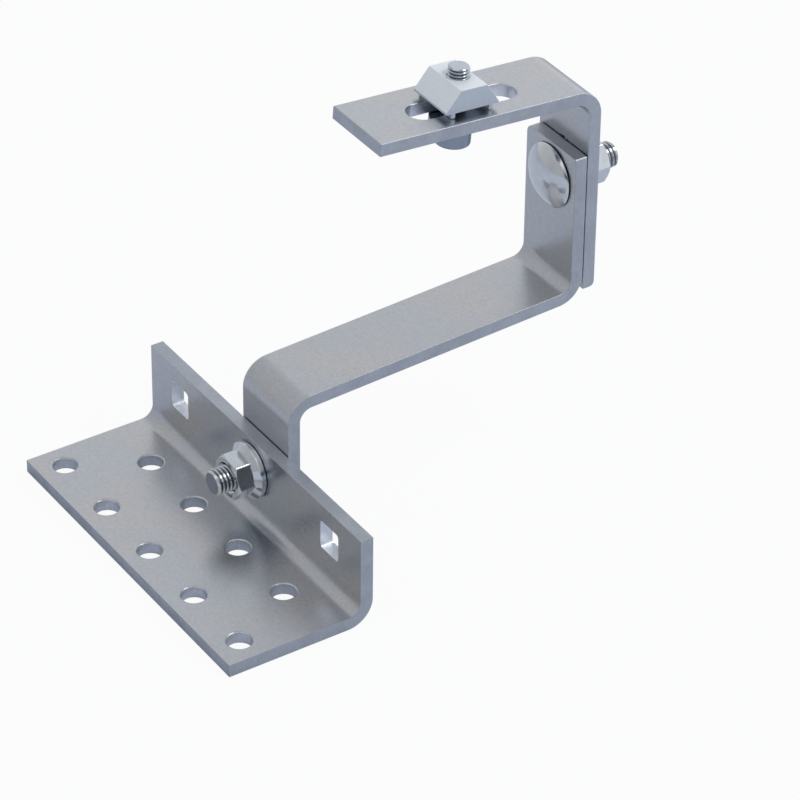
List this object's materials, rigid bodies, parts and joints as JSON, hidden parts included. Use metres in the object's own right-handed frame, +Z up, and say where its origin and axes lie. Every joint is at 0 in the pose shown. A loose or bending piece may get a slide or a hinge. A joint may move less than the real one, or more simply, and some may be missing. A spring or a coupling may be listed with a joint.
{
  "type": "solar roof hook",
  "caption": "Adjustable roof hook for solar rails: a bent base plate screwed to a rafter, a Z-shaped arm, and a slotted L-shaped bracket with a clamp block for the rail.",
  "frame": {"origin": "middle of the base plate's flat underside, half-way between its ends", "axes": "+X along the base plate's length, +Y from the base plate out along the arm, +Z up, away from the rafter"},
  "size_m": [0.14, 0.2039, 0.1623],
  "materials": {
    "blasted_steel": "bead-blasted satin stainless steel sheet",
    "arm_steel": "bead-blasted satin stainless steel strap",
    "bracket_steel": "bead-blasted satin stainless steel strap",
    "polished_steel": "bright stainless fasteners",
    "clamp_aluminium": "plain extruded aluminium, pale and matt",
    "screw_steel": "bright stainless screw"
  },
  "bodies": {
    "base": {"base_plate": "blasted_steel", "hook_arm": "arm_steel", "base_bolt": "polished_steel", "base_nut": "polished_steel", "bracket_bolt": "polished_steel", "bracket_nut": "polished_steel"},
    "bracket": {"rail_bracket": "bracket_steel"},
    "clamp": {"clamp_block": "clamp_aluminium", "clamp_screw": "screw_steel", "clamp_washer": "screw_steel"}
  },
  "joints": [
    {"name": "bracket_height", "type": "slide", "parent": "base", "child": "bracket", "axis": [0, 0, 1], "range_m": [-0.008, 0.029]},
    {"name": "clamp_slide", "type": "slide", "parent": "bracket", "child": "clamp", "axis": [0, 0.9968, -0.0797], "range_m": [-0.0145, 0.0185]}
  ]
}
